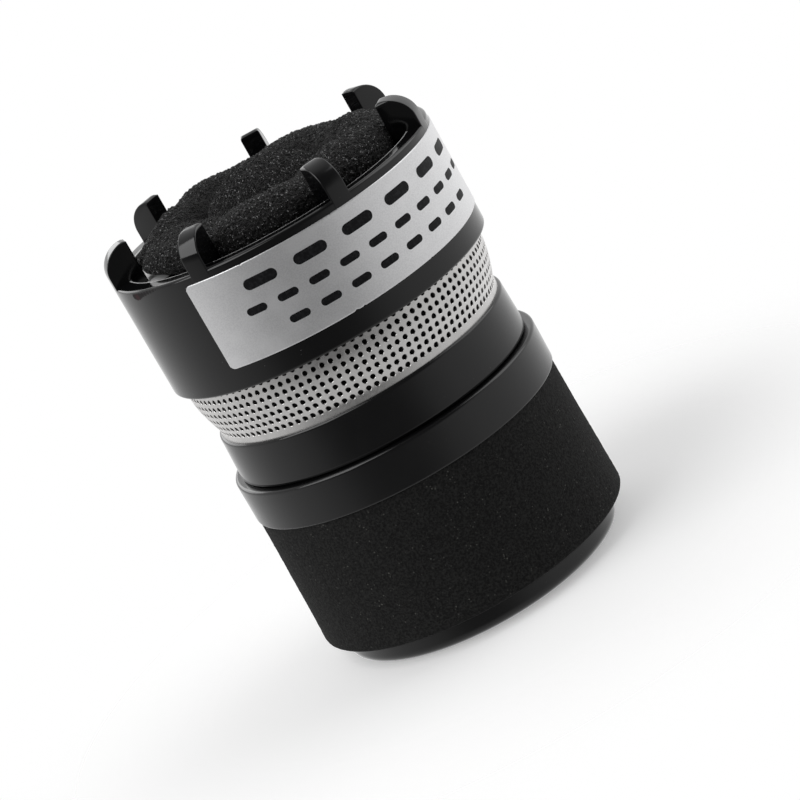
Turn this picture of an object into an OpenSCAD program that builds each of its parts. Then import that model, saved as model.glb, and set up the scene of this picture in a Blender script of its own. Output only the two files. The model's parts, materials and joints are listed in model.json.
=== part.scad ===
// Dynamic microphone capsule, held in a handle by its lower collar.
// Origin at the centre of the flat underside, +Z towards the front foam, label centred on -Y.

/* [Front cap] */
// Outer diameter of the front cap
cap_d = 36; // [34:0.5:42]
// Height of the cap wall, from the skirt's edge to the rim
cap_h = 12.75; // [11:0.05:16]
// Wall of the cap above its skirt
cap_wall = 1.8; // [1.4:0.1:2.2]
// Wall of the thin skirt over the screen's top edge
skirt_wall = 0.9; // [0.6:0.1:1.1]
// Height of the thin skirt, which is how far the screen tucks in
skirt_h = 1.7; // [1:0.1:2.5]
// Drop from the rim to the deck inside it
deck_drop = 1; // [0.5:0.1:1.6]
// Thickness of the deck
deck_t = 1.5; // [1:0.1:2]
// Width of the deck, from the cap's inner wall inwards
deck_w = 3; // [2.2:0.1:4]
// Rounding of the rim's outer edge
rim_round = 0.45; // [0.2:0.05:0.6]
// Chamfer on the skirt's lower outer edge
skirt_chamfer = 0.25; // [0.1:0.05:0.4]

/* [Claws] */
// Number of claws round the rim
claw_count = 7; // [5:1:9]
// Height of a claw above the rim
claw_h = 3.8; // [2.5:0.1:5]
// Width of a claw along the rim
claw_w = 2.15; // [1.4:0.05:3]
// Depth of a claw, from the cap's outer wall inwards
claw_depth = 3.3; // [2.6:0.1:4]
// Height over which a claw's outer face is still upright
claw_upright = 1.1; // [0.5:0.1:1.8]
// Width of the small flat at a claw's tip
claw_flat = 0.3; // [0.1:0.05:0.6]
// Rounding of a claw's two top corners, seen from outside
claw_corner = 0.4; // [0.1:0.05:0.8]
// Angle of the first claw from the middle of the label
claw_turn = -9.2; // [-25:0.1:25]

/* [Label] */
// Angle that the foil label covers
label_span = 136; // [90:1:160]
// Height of the label
label_h = 9.5; // [6:0.1:9.8]
// Thickness of the foil
label_t = 0.1; // [0.06:0.01:0.2]
// Corner radius of the label
label_corner = 0.6; // [0.3:0.1:1.5]
// Drop from the rim to the label's top edge
label_drop = 0.9; // [0.6:0.1:1.1]

/* [Front foam and diaphragm] */
// Height of the foam's middle dome above the deck
foam_dome_h = 4.5; // [3:0.1:6]
// Height of the foam's outer ridge above the deck
foam_ridge_h = 3.5; // [2:0.1:5]
// Height of the foam at the crease between dome and ridge
foam_crease_h = 1.8; // [1:0.1:1.9]
// Radius of the crease
foam_crease_r = 6.4; // [5.5:0.1:8]
// Radius of the ridge's crest
foam_crest_r = 11; // [10:0.1:12]
// Thickness of the front grille
grille_t = 0.5; // [0.3:0.05:0.8]
// Diameter of a hole in the front grille
grille_hole_d = 2.2; // [1:0.1:2.6]
// Spacing of the holes in the front grille
grille_pitch = 3.6; // [3:0.1:4]
// Thickness of the front cloth
cloth_t = 0.2; // [0.1:0.05:0.4]
// Height of the ring that clamps the diaphragm
clamp_h = 3.1; // [2.9:0.1:4]
// Wall of the clamp ring
clamp_wall = 3.1; // [2:0.1:3.4]
// Thickness of the diaphragm film
film_t = 0.2; // [0.1:0.05:0.3]
// Rise of the diaphragm's dome
dome_rise = 2.2; // [1:0.1:2.4]
// Rise of the rolled surround
surround_rise = 0.9; // [0.4:0.1:1.5]

/* [Magnet motor] */
// Thickness of the coil winding
coil_t = 0.55; // [0.4:0.05:0.7]
// Height of the coil winding
coil_h = 3.2; // [2:0.1:4]
// Clearance between the coil and the iron on each side
coil_gap = 0.3; // [0.2:0.05:0.4]
// Travel left for the diaphragm above the plate
travel = 0.7; // [0.5:0.1:1]
// Thickness of the top plate and the pole piece
plate_t = 2.5; // [1.5:0.1:3]
// Width of the top plate's ring, from the yoke cup in to the coil's gap
plate_w = 3.3; // [2.8:0.1:3.8]
// How far the pole piece stands out over the magnet
magnet_lip = 0.9; // [0.6:0.1:2]
// Height of the magnet
magnet_h = 8.5; // [7:0.1:9]
// Width of the air channel round the yoke cup, which the leads run down
channel_w = 1; // [0.9:0.05:1.1]
// Wall of the yoke cup
yoke_wall = 1.5; // [1:0.1:2]
// Floor of the yoke cup
yoke_floor = 2.5; // [1.5:0.1:3]

/* [Port screen] */
// Height of the perforated screen that shows below the cap
screen_h = 6.45; // [6:0.05:9]
// Ledge of the band outside the screen's lower edge
screen_ledge = 0.33; // [0.15:0.01:0.5]
// Height of the upright strip at the screen's lower edge
screen_strip = 0.9; // [0.5:0.1:1.5]
// Thickness of the screen's sheet
screen_t = 0.35; // [0.25:0.05:0.4]
// Room for the cloth between the screen and the neck
cloth_band_t = 0.3; // [0.25:0.05:0.4]
// Diameter of a hole in the screen
screen_hole_d = 0.54; // [0.4:0.02:0.6]
// Number of holes in a row round the screen
screen_holes = 112; // [60:4:112]
// Angle of a column of holes from the middle of the label
screen_turn = 0.8; // [0:0.1:3.2]
// Number of rows of holes
screen_rows = 7; // [4:1:7]
// Spacing of the rows
screen_pitch = 0.9; // [0.8:0.05:1]
// Height of the first row above the screen's lower edge
screen_first = 0.95; // [0.8:0.05:1.3]

/* [Housing] */
// Step from the lower collar's face in to the band's
band_step = 0.8; // [0.5:0.05:1]
// How much narrower the band is on the radius at its upper edge
band_taper = 0.2; // [0:0.05:0.3]
// Height of the band
band_h = 5.1; // [4:0.1:7]
// Rounding of the band's edges
band_round = 0.4; // [0.2:0.05:0.6]
// Wall of the neck behind the screen
neck_wall = 1; // [0.8:0.1:1.1]
// Wall of the spigot inside the lower collar
spigot_wall = 0.9; // [0.7:0.1:1]
// Number of ports through the neck
port_count = 6; // [4:1:8]
// Angle of each port
port_span = 40; // [20:1:42]
// Height of the ports
port_h = 4.6; // [3:0.1:5]
// Thickness of the web that carries the motor
web_t = 1.6; // [1:0.1:2]
// Diameter of the opening in the middle of the web
web_bore_d = 18; // [10:0.5:20]
// Number of slots round the edge of the web
slot_count = 8; // [4:2:10]
// Angle of each slot in the web
slot_span = 24; // [12:1:30]

/* [Collar and sleeve] */
// Step from the cap's face in to the lower collar's
collar_step = 0.65; // [0.3:0.05:1]
// Height of the lower collar
collar_h = 4.5; // [3:0.1:6]
// Wall of the lower collar
collar_wall = 1.95; // [1.4:0.05:2.2]
// Bevel on the collar's edges
collar_bevel = 0.3; // [0.1:0.05:0.5]
// Wall of the foam sleeve
sleeve_wall = 1.4; // [0.9:0.1:1.6]
// Height of the foam sleeve
sleeve_h = 15; // [10:0.5:20]
// Rounding of the sleeve's lower edge
sleeve_round = 0.4; // [0.3:0.1:1]

/* [Rear cup] */
// Height of the cup that shows below the sleeve
cup_show = 2.7; // [2:0.1:5]
// Wall of the cup
cup_wall = 1.3; // [1:0.1:1.5]
// Floor of the cup near its wall
cup_floor = 1.6; // [1.2:0.1:2.2]
// Rounding of the cup's lower edge
cup_round = 0.9; // [0.5:0.1:1.1]
// Diameter of the terminal recess in the underside
recess_d = 16; // [14:0.5:18]
// Depth of the terminal recess
recess_h = 2.4; // [2.2:0.1:3.4]
// Thickness of the recess's ceiling and wall
boss_wall = 1.6; // [1:0.1:2]
// Thickness of the felt in the rear chamber
felt_t = 2; // [1:0.1:4]
// Thickness of the gasket between cup and housing
gasket_t = 0.6; // [0.4:0.1:0.8]
// Width of the gasket
gasket_w = 1.6; // [1.2:0.1:2]

/* [Terminals and leads] */
// Distance of each terminal from the middle
terminal_x = 4; // [3.5:0.1:4.5]
// Thickness of the terminal board
board_t = 1.2; // [0.8:0.1:1.6]
// Thickness of a solder lug
lug_t = 0.4; // [0.2:0.05:0.5]
// Diameter of a lug's round end
lug_d = 3; // [2.4:0.1:3.4]
// Width of a lug's tail
lug_tail_w = 1.6; // [1:0.1:2]
// Length of a lug's tail from its rivet
lug_tail = 3; // [2:0.1:3.2]
// Diameter of the hole in a lug's tail
lug_hole_d = 0.9; // [0.6:0.1:1]
// Diameter of a rivet's head
rivet_head_d = 2.2; // [1.8:0.1:2.4]
// Height of a rivet's head
rivet_head_h = 0.4; // [0.2:0.05:0.4]
// Diameter of a rivet's shank
rivet_d = 1.2; // [0.8:0.1:1.4]
// Diameter of the two inner leads
lead_d = 0.7; // [0.4:0.05:0.8]

/* [Fits] */
// Clearance on the radius between pieces that sit inside each other
fit_gap = 0.1; // [0.05:0.01:0.15]
// Clearance on the radius of the stack inside the cap
stack_gap = 0.2; // [0.1:0.05:0.3]
// Clearance round each lead
lead_gap = 0.15; // [0.1:0.05:0.2]

/* [Hidden] */
$fn = 96;
eps = 0.01;
// Turn of the claws, label and screen, so that the label's middle faces -Y
front = -90;

// Levels of the outside, from the underside up
sleeve_z = cup_show;
collar_z = sleeve_z + sleeve_h;
band_z = collar_z + collar_h;
screen_z = band_z + band_h;
skirt_z = screen_z + screen_h;
rim_z = skirt_z + cap_h;
label_z = rim_z - label_drop - label_h;
screen_top_z = skirt_z + skirt_h;

// Levels of the inside, from the deck down
deck_z = rim_z - deck_drop;
flange_z = deck_z - deck_t;
grille_z = flange_z - grille_t;
cloth_z = grille_z - cloth_t;
clamp_z = cloth_z - clamp_h;
seat_z = clamp_z - film_t;
plate_z = seat_z - travel - plate_t;
magnet_z = plate_z - magnet_h;
yoke_z = magnet_z - yoke_floor;
web_z = yoke_z - web_t;
gasket_z = collar_z;
spigot_z = gasket_z + gasket_t;

// Radii of the outside
cap_r = cap_d / 2;
cap_in_r = cap_r - cap_wall;
skirt_in_r = cap_r - skirt_wall;
deck_in_r = cap_in_r - deck_w;
screen_top_r = skirt_in_r - fit_gap;
collar_r = cap_r - collar_step;
band_r = collar_r - band_step;
band_top_r = band_r - band_taper;
screen_r = band_top_r - screen_ledge;

// Radii below the band: the collar, the spigot inside it, then the cup and its sleeve
spigot_r = collar_r - collar_wall - fit_gap;
spigot_in_r = spigot_r - spigot_wall;
cup_in_r = spigot_in_r;
cup_r = cup_in_r + cup_wall;
sleeve_r = cup_r + fit_gap + sleeve_wall;

// Radii of the inside
stack_r = cap_in_r - stack_gap;
clamp_r = stack_r - clamp_wall;
neck_r = screen_r - screen_t - cloth_band_t;
neck_in_r = neck_r - neck_wall;
yoke_r = min(neck_in_r, spigot_in_r) - channel_w;
motor_bore_r = yoke_r + fit_gap;
plate_in_r = yoke_r - plate_w;
coil_out_r = plate_in_r - coil_gap;
coil_in_r = coil_out_r - coil_t;
pole_r = coil_in_r - coil_gap;
magnet_r = pole_r - magnet_lip;

// Leads run down the channel round the yoke, then in to the terminals
lead_x = yoke_r + channel_w / 2;
lead_hole_r = lead_d / 2 + lead_gap;
boss_z = recess_h + boss_wall;
boss_r = recess_d / 2 + boss_wall;

// Points of an arc round a corner, from one angle to another
function arc(x, y, r, from, to, steps = 6) =
    [for (i = [0:steps]) let (a = from + (to - from) * i / steps) [x + r * cos(a), y + r * sin(a)]];

// Radius of the screen's outer face at a level
function screen_radius(z) =
    let (low = screen_z + screen_strip, high = skirt_z - screen_strip)
    z <= low ? screen_r
    : z >= high ? screen_top_r
    : screen_r + (screen_top_r - screen_r) * sin(90 * (z - low) / (high - low));

// A ring of rectangular section
module ring(inner, outer, low, height) {
    translate([0, 0, low]) difference() {
        cylinder(r = outer, h = height);
        translate([0, 0, -eps]) cylinder(r = inner, h = height + 2 * eps);
    }
}

// A part of a ring that covers one angle, centred on +X
module ring_part(inner, outer, low, height, span) {
    rotate([0, 0, -span / 2]) rotate_extrude(angle = span)
        translate([inner, low]) square([outer - inner, height]);
}

// Two holes for the leads, at a distance from the middle
module lead_holes(x, low, height) {
    for (side = [-1, 1])
        translate([side * x, 0, low]) cylinder(r = lead_hole_r, h = height, $fn = 24);
}

// The cup that closes the rear chamber, with its terminal recess underneath
module rear_cup() {
    color([0.04, 0.04, 0.045]) difference() {
        rotate_extrude() polygon(concat(
            [[0, recess_h], [recess_d / 2, recess_h], [recess_d / 2, 0]],
            arc(cup_r - cup_round, cup_round, cup_round, -90, 0),
            [[cup_r, collar_z], [cup_in_r, collar_z], [cup_in_r, cup_floor],
             [boss_r, cup_floor], [boss_r, boss_z], [0, boss_z]]));
        lead_holes(terminal_x, recess_h - eps, boss_wall + 2 * eps);
    }
}

// The round board in the recess, which carries both lugs
module terminal_board() {
    color([0.35, 0.2, 0.1]) difference() {
        translate([0, 0, recess_h - board_t]) cylinder(r = recess_d / 2 - stack_gap, h = board_t);
        for (side = [-1, 1]) translate([side * terminal_x, 0, 0])
            cylinder(d = rivet_d + fit_gap, h = recess_h + eps, $fn = 24);
    }
}

// A flat solder lug, with its tail pointing away from the middle
module terminal_lug(turn) {
    low = recess_h - board_t - lug_t;
    color([0.75, 0.72, 0.62]) rotate([0, 0, turn]) translate([terminal_x, 0, low]) difference() {
        union() {
            cylinder(d = lug_d, h = lug_t, $fn = 48);
            translate([0, -lug_tail_w / 2, 0]) cube([lug_tail, lug_tail_w, lug_t]);
        }
        translate([0, 0, -eps]) cylinder(d = rivet_d + fit_gap, h = lug_t + 2 * eps, $fn = 24);
        translate([(lug_tail + lug_d / 2) / 2, 0, -eps])
            cylinder(d = lug_hole_d, h = lug_t + 2 * eps, $fn = 24);
    }
}

module terminal_lug_left() {
    terminal_lug(180);
}

module terminal_lug_right() {
    terminal_lug(0);
}

// The two rivets that hold the lugs on the board
module terminal_rivets() {
    low = recess_h - board_t - lug_t;
    color([0.8, 0.78, 0.7]) for (side = [-1, 1]) translate([side * terminal_x, 0, 0]) {
        translate([0, 0, low - rivet_head_h]) cylinder(d = rivet_head_d, h = rivet_head_h, $fn = 32);
        translate([0, 0, low - eps]) cylinder(d = rivet_d, h = recess_h - low + eps, $fn = 32);
    }
}

// Damping felt on the boss inside the rear chamber
module chamber_felt() {
    color([0.5, 0.48, 0.45]) difference() {
        translate([0, 0, boss_z]) cylinder(r = cup_in_r - stack_gap, h = felt_t);
        lead_holes(terminal_x, boss_z - eps, felt_t + 2 * eps);
    }
}

// Gasket between the cup's rim and the housing's spigot
module chamber_gasket() {
    color([0.12, 0.12, 0.12]) ring(spigot_r - gasket_w, spigot_r, gasket_z, gasket_t);
}

// Fine foam sleeve round the rear cup, under the collar
module foam_sleeve() {
    color([0.09, 0.09, 0.09]) rotate_extrude() polygon(concat(
        [[cup_r + fit_gap, collar_z], [cup_r + fit_gap, sleeve_z]],
        arc(sleeve_r - sleeve_round, sleeve_z + sleeve_round, sleeve_round, -90, 0),
        [[sleeve_r, collar_z]]));
}

// Lower collar, the ring by which the capsule sits in its handle
module lower_collar() {
    inner = spigot_r + fit_gap;
    edge = collar_r - collar_bevel;
    color([0.05, 0.05, 0.055]) rotate_extrude() polygon([
        [inner, collar_z], [edge, collar_z], [collar_r, collar_z + collar_bevel],
        [collar_r, band_z - collar_bevel], [edge, band_z], [inner, band_z]]);
}

// Section of the housing, from the spigot up to the seat of the diaphragm
module housing_section() {
    polygon(concat(
        [[spigot_in_r, spigot_z], [spigot_r, spigot_z], [spigot_r, band_z]],
        arc(band_r - band_round, band_z + band_round, band_round, -90, 0),
        arc(band_top_r - band_round, screen_z - band_round, band_round, 0, 90),
        [[neck_r, screen_z], [neck_r, screen_top_z], [stack_r, screen_top_z + stack_r - neck_r],
         [stack_r, seat_z], [motor_bore_r, seat_z], [motor_bore_r, plate_z],
         [neck_in_r, plate_z - (neck_in_r - motor_bore_r)], [neck_in_r, yoke_z], [web_bore_d / 2, yoke_z],
         [web_bore_d / 2, web_z], [spigot_in_r, web_z]]));
}

// Moulded housing: band, ported neck, motor bore and slotted web in one piece
module motor_housing() {
    port_z = screen_z + screen_strip;
    color([0.04, 0.04, 0.045]) difference() {
        rotate_extrude() housing_section();
        for (i = [0:port_count - 1]) rotate([0, 0, (i + 0.5) * 360 / port_count])
            ring_part(neck_in_r - cloth_band_t, neck_r + cloth_band_t, port_z, port_h, port_span);
        for (i = [0:slot_count - 1]) rotate([0, 0, i * 360 / slot_count])
            ring_part(yoke_r, neck_in_r - eps, web_z - eps, web_t + 2 * eps, slot_span);
        lead_holes(lead_x, plate_z - 1, seat_z - plate_z + 2);
    }
}

// Cloth under the web, which damps the way into the rear chamber
module rear_cloth() {
    color([0.2, 0.2, 0.2]) difference() {
        translate([0, 0, web_z - cloth_t]) cylinder(r = spigot_in_r - fit_gap, h = cloth_t);
        lead_holes(lead_x, web_z - cloth_t - eps, cloth_t + 2 * eps);
    }
}

// Iron cup that carries the magnet and returns its field
module yoke_cup() {
    color([0.55, 0.55, 0.57]) difference() {
        translate([0, 0, yoke_z]) cylinder(r = yoke_r, h = plate_z - yoke_z);
        translate([0, 0, magnet_z]) cylinder(r = yoke_r - yoke_wall, h = magnet_h + eps);
    }
}

module magnet() {
    color([0.3, 0.3, 0.32]) translate([0, 0, magnet_z]) cylinder(r = magnet_r, h = magnet_h);
}

module pole_piece() {
    color([0.6, 0.6, 0.62]) translate([0, 0, plate_z]) cylinder(r = pole_r, h = plate_t);
}

module top_plate() {
    color([0.6, 0.6, 0.62]) ring(plate_in_r, yoke_r, plate_z, plate_t);
}

// Coil that hangs from the diaphragm into the gap of the iron
module voice_coil() {
    color([0.72, 0.4, 0.2]) ring(coil_in_r, coil_out_r, seat_z - coil_h, coil_h);
}

// Height of the diaphragm's underside at a radius: dome, glue flat, rolled surround, rim
function film_height(r) =
    let (dome_r = coil_in_r, roll_in = coil_out_r, roll_out = clamp_r - fit_gap)
    r < dome_r ? dome_rise * (1 - pow(r / dome_r, 2))
    : r < roll_in || r > roll_out ? 0
    : surround_rise * sin(180 * (r - roll_in) / (roll_out - roll_in));

module diaphragm() {
    dome = [for (i = [0:10]) coil_in_r * i / 10];
    roll = [for (i = [0:12]) coil_out_r + (clamp_r - fit_gap - coil_out_r) * i / 12];
    radii = concat(dome, roll, [stack_r]);
    under = [for (r = radii) [r, seat_z + film_height(r)]];
    over = [for (i = [len(radii) - 1:-1:0]) under[i] + [0, film_t]];
    color([0.8, 0.8, 0.7]) rotate_extrude() polygon(concat(under, over));
}

module clamp_ring() {
    color([0.1, 0.1, 0.1]) ring(clamp_r, stack_r, clamp_z, clamp_h);
}

module front_cloth() {
    color([0.15, 0.15, 0.16]) translate([0, 0, cloth_z]) cylinder(r = stack_r, h = cloth_t);
}

// Front grille: one hole in the middle and rings of six, twelve and eighteen
module front_grille() {
    color([0.6, 0.6, 0.62]) difference() {
        translate([0, 0, grille_z]) cylinder(r = stack_r, h = grille_t);
        for (row = [0:3]) for (i = [0:max(0, 6 * row - 1)])
            rotate([0, 0, i * 360 / max(1, 6 * row)])
                translate([row * grille_pitch, 0, grille_z - eps])
                    cylinder(d = grille_hole_d, h = grille_t + 2 * eps, $fn = 24);
    }
}

// Black cloth round the neck, behind the perforated screen
module port_cloth() {
    outer = neck_r + cloth_band_t - fit_gap;
    color([0.06, 0.06, 0.06]) ring(neck_r, outer, screen_z, screen_top_z - screen_z);
}

// Section of the screen: an upright strip, a curved flare, then upright behind the skirt
module screen_section() {
    low = screen_z + screen_strip;
    high = skirt_z - screen_strip;
    levels = concat([screen_z], [for (i = [0:6]) low + (high - low) * i / 6], [screen_top_z]);
    outside = [for (z = levels) [screen_radius(z), z]];
    inside = [for (i = [len(levels) - 1:-1:0]) outside[i] - [screen_t, 0]];
    polygon(concat(outside, inside));
}

// Perforated metal screen over the ports, with its holes in straight columns
module port_screen() {
    color([0.8, 0.8, 0.82]) difference() {
        rotate_extrude() screen_section();
        for (row = [0:screen_rows - 1]) for (i = [0:screen_holes - 1])
            let (z = screen_z + screen_first + row * screen_pitch)
            rotate([0, 0, front + screen_turn + i * 360 / screen_holes])
                translate([screen_radius(z) - screen_t / 2, 0, z]) rotate([0, 90, 0])
                    cylinder(d = screen_hole_d, h = 4 * screen_t, center = true, $fn = 16);
    }
}

// Section of the cap: skirt, wall, rounded rim, and the deck inside
module cap_section() {
    polygon(concat(
        [[skirt_in_r, skirt_z], [cap_r - skirt_chamfer, skirt_z], [cap_r, skirt_z + skirt_chamfer]],
        arc(cap_r - rim_round, rim_z - rim_round, rim_round, 0, 90),
        [[cap_in_r, rim_z], [cap_in_r, deck_z], [deck_in_r, deck_z], [deck_in_r, flange_z],
         [cap_in_r, flange_z], [cap_in_r, screen_top_z], [skirt_in_r, screen_top_z]]));
}

// Side view of a claw: upright outside, then a quarter ellipse to the tip, straight inside
module claw_section() {
    inner = cap_r - claw_depth;
    reach = claw_depth - claw_flat;
    rise = claw_h - claw_upright;
    top = rim_z + claw_upright;
    polygon(concat(
        [[inner, deck_z - eps], [cap_in_r + eps, deck_z - eps], [cap_in_r + eps, rim_z - rim_round],
         [cap_r, rim_z - rim_round]],
        [for (i = [0:10]) [inner + claw_flat + reach * cos(9 * i), top + rise * sin(9 * i)]],
        [[inner, rim_z + claw_h - claw_flat / 2]]));
}

// Front view of a claw: upright sides with rounded top corners
module claw_outline() {
    side = claw_w / 2;
    corner = rim_z + claw_h - claw_corner;
    polygon(concat(
        [[-side, deck_z - 1], [side, deck_z - 1]],
        arc(side - claw_corner, corner, claw_corner, 0, 90, 4),
        arc(claw_corner - side, corner, claw_corner, 90, 180, 4)));
}

// Front cap with its crown of claws, which hold the foam
module front_cap() {
    color([0.03, 0.03, 0.035]) union() {
        rotate_extrude() cap_section();
        intersection() {
            rotate_extrude() claw_section();
            for (i = [0:claw_count - 1]) rotate([0, 0, front + claw_turn + i * 360 / claw_count])
                rotate([90, 0, 90]) linear_extrude(height = cap_r + 1) claw_outline();
        }
    }
}

// Cuts one corner of the label to a round of short flats, at an angle and level
module label_corner_cut(angle, level, side, up) {
    flats = 4;
    out = 0.3;
    bend = [for (i = [0:flats]) label_corner * [cos(90 * i / flats) - 1, sin(90 * i / flats) - 1]];
    start = bend[0] + out * (bend[0] - bend[1]);
    end = bend[flats] + out * (bend[flats] - bend[flats - 1]);
    points = concat([start], [for (i = [1:flats - 1]) bend[i]], [end, [label_corner, label_corner]]);
    rotate([0, 0, front + angle]) translate([cap_r - 1, 0, level]) rotate([90, 0, 90])
        linear_extrude(height = 2) polygon([for (p = points) [side * p[0], up * p[1]]]);
}

// Foil label round part of the cap's wall
module foil_label() {
    color([0.78, 0.78, 0.78]) difference() {
        rotate([0, 0, front]) ring_part(cap_r, cap_r + label_t, label_z, label_h, label_span);
        for (side = [-1, 1]) {
            label_corner_cut(side * label_span / 2, label_z + label_h, side, 1);
            label_corner_cut(side * label_span / 2, label_z, side, -1);
        }
    }
}

// Points of part of an ellipse, turned from its top by angles that grow outwards
function bulge(middle_r, reach, low, rise, from, to, steps) =
    [for (i = [0:steps]) let (a = from + (to - from) * i / steps)
        [middle_r + reach * sin(a), deck_z + low + rise * cos(a)]];

// Foam disc held by the claws: a dome, a crease, a round ridge, and a plug inside the deck
module front_foam() {
    edge_r = cap_r - claw_depth - stack_gap;
    edge_h = foam_ridge_h / 3;
    plug_r = deck_in_r - stack_gap;
    ridge_in = foam_crest_r - foam_crease_r;
    ridge_out = edge_r - foam_crest_r;
    color([0.12, 0.12, 0.12]) rotate_extrude() polygon(concat(
        [[0, flange_z]],
        bulge(0, foam_crease_r, foam_crease_h, foam_dome_h - foam_crease_h, 0, 80, 8),
        bulge(foam_crest_r, ridge_in, foam_crease_h, foam_ridge_h - foam_crease_h, -80, 0, 8),
        bulge(foam_crest_r, ridge_out, edge_h, foam_ridge_h - edge_h, 15, 90, 5),
        [[edge_r, deck_z], [plug_r, deck_z], [plug_r, flange_z]]));
}

// Route of a lead: down past the motor, in across the chamber, down to its rivet
function lead_curve(t, ends) =
    let (u = 1 - t)
    u * u * u * ends[0] + 3 * u * u * t * ends[1] + 3 * u * t * t * ends[2] + t * t * t * ends[3];

// Sweeps a round tube along a route in the XZ plane
module lead(turn) {
    sides = 8;
    bend_top = web_z - 1.5;
    bend_low = boss_z + felt_t + 1;
    reach = (bend_top - bend_low) / 2;
    ends = [[lead_x, bend_top], [lead_x, bend_top - reach],
            [terminal_x, bend_low + reach], [terminal_x, bend_low]];
    route = concat([[lead_x, seat_z]], [for (i = [0:14]) lead_curve(i / 14, ends)], [[terminal_x, recess_h]]);
    last = len(route) - 1;
    way = [for (i = [0:last]) let (d = route[min(last, i + 1)] - route[max(0, i - 1)]) d / norm(d)];
    points = [for (i = [0:last], k = [0:sides - 1])
        let (a = 360 * k / sides, across = [-way[i][1], way[i][0]] * lead_d / 2 * cos(a))
        [route[i][0] + across[0], -lead_d / 2 * sin(a), route[i][1] + across[1]]];
    faces = concat(
        [[for (k = [0:sides - 1]) k]], [[for (k = [0:sides - 1]) last * sides + sides - 1 - k]],
        [for (i = [0:last - 1], k = [0:sides - 1])
            let (next = (k + 1) % sides)
            [i * sides + k, (i + 1) * sides + k, (i + 1) * sides + next, i * sides + next]]);
    color([0.6, 0.1, 0.08]) rotate([0, 0, turn]) polyhedron(points = points, faces = faces);
}

module lead_left() {
    lead(180);
}

module lead_right() {
    lead(0);
}

rear_cup();
terminal_board();
terminal_lug_left();
terminal_lug_right();
terminal_rivets();
chamber_felt();
chamber_gasket();
foam_sleeve();
lower_collar();
motor_housing();
rear_cloth();
yoke_cup();
magnet();
pole_piece();
top_plate();
voice_coil();
diaphragm();
clamp_ring();
front_cloth();
front_grille();
port_cloth();
port_screen();
front_cap();
foil_label();
front_foam();
lead_left();
lead_right();
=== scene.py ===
import json
import math

import bmesh
import bpy
import numpy as np
from mathutils import Matrix, Vector, noise


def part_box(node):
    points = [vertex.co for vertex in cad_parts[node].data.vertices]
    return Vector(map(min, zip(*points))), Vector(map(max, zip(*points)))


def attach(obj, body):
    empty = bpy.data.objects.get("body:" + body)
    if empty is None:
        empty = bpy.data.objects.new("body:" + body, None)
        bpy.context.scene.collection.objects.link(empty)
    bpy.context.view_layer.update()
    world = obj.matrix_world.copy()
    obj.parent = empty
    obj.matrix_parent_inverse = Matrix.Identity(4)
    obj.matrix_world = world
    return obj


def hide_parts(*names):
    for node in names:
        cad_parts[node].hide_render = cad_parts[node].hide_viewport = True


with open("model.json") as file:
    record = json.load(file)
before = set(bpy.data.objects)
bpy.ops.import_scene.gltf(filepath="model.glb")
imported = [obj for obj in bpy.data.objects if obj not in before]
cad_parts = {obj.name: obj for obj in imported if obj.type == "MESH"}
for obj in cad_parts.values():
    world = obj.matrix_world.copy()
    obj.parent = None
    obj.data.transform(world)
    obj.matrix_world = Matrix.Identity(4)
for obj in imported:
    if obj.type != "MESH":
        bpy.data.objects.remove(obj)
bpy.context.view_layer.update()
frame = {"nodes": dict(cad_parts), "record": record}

# Units: every size below is in millimetres and every angle in degrees, as in the part's source
MM = 0.001
# Points that lie closer together than this become one
MERGE = 0.0005
# Edges that turn by more than this stay sharp
SHARP = 35
# Distance of a guard point from the arc beside it: a least one, and a share of the arc's radius
GUARD_LEAST, GUARD_SHARE = 0.06, 0.1


def span(node):
    """Bottom, top and greatest radius of a CAD node."""
    low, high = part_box(node)
    return tuple(round(v / MM, 2) for v in (low.z, high.z, max(high.x, -low.y)))


SKIRT_Z, TIP_Z, CAP_R = span("front_cap")
SCREEN_Z, SCREEN_TOP_Z, SCREEN_TOP_R = span("port_screen")
SPIGOT_Z, SEAT_Z, BAND_R = span("motor_housing")
COLLAR_Z, BAND_Z, COLLAR_R = span("lower_collar")
SLEEVE_Z, _, SLEEVE_R = span("foam_sleeve")
_, CUP_TOP_Z, CUP_R = span("rear_cup")
LABEL_Z, LABEL_TOP_Z, LABEL_R = span("foil_label")
FLANGE_Z, _, FOAM_R = span("front_foam")

# Sizes inside the nodes, which their boxes don't give
CLAW_H, CLAW_W, CLAW_DEPTH, CLAW_UPRIGHT, CLAW_FLAT = 3.8, 2.15, 3.3, 1.1, 0.3
CLAW_COUNT, CLAW_TURN, CLAW_CORNER, CLAW_EDGE = 7, -9.2, 0.4, 0.12
CAP_WALL, DECK_DROP, DECK_WIDTH, SKIRT_WALL = 1.8, 1, 3, 0.9
RIM_Z = TIP_Z - CLAW_H
DECK_Z = RIM_Z - DECK_DROP
CAP_IN_R, SKIRT_IN_R = CAP_R - CAP_WALL, CAP_R - SKIRT_WALL
DECK_IN_R = CAP_IN_R - DECK_WIDTH
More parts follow.
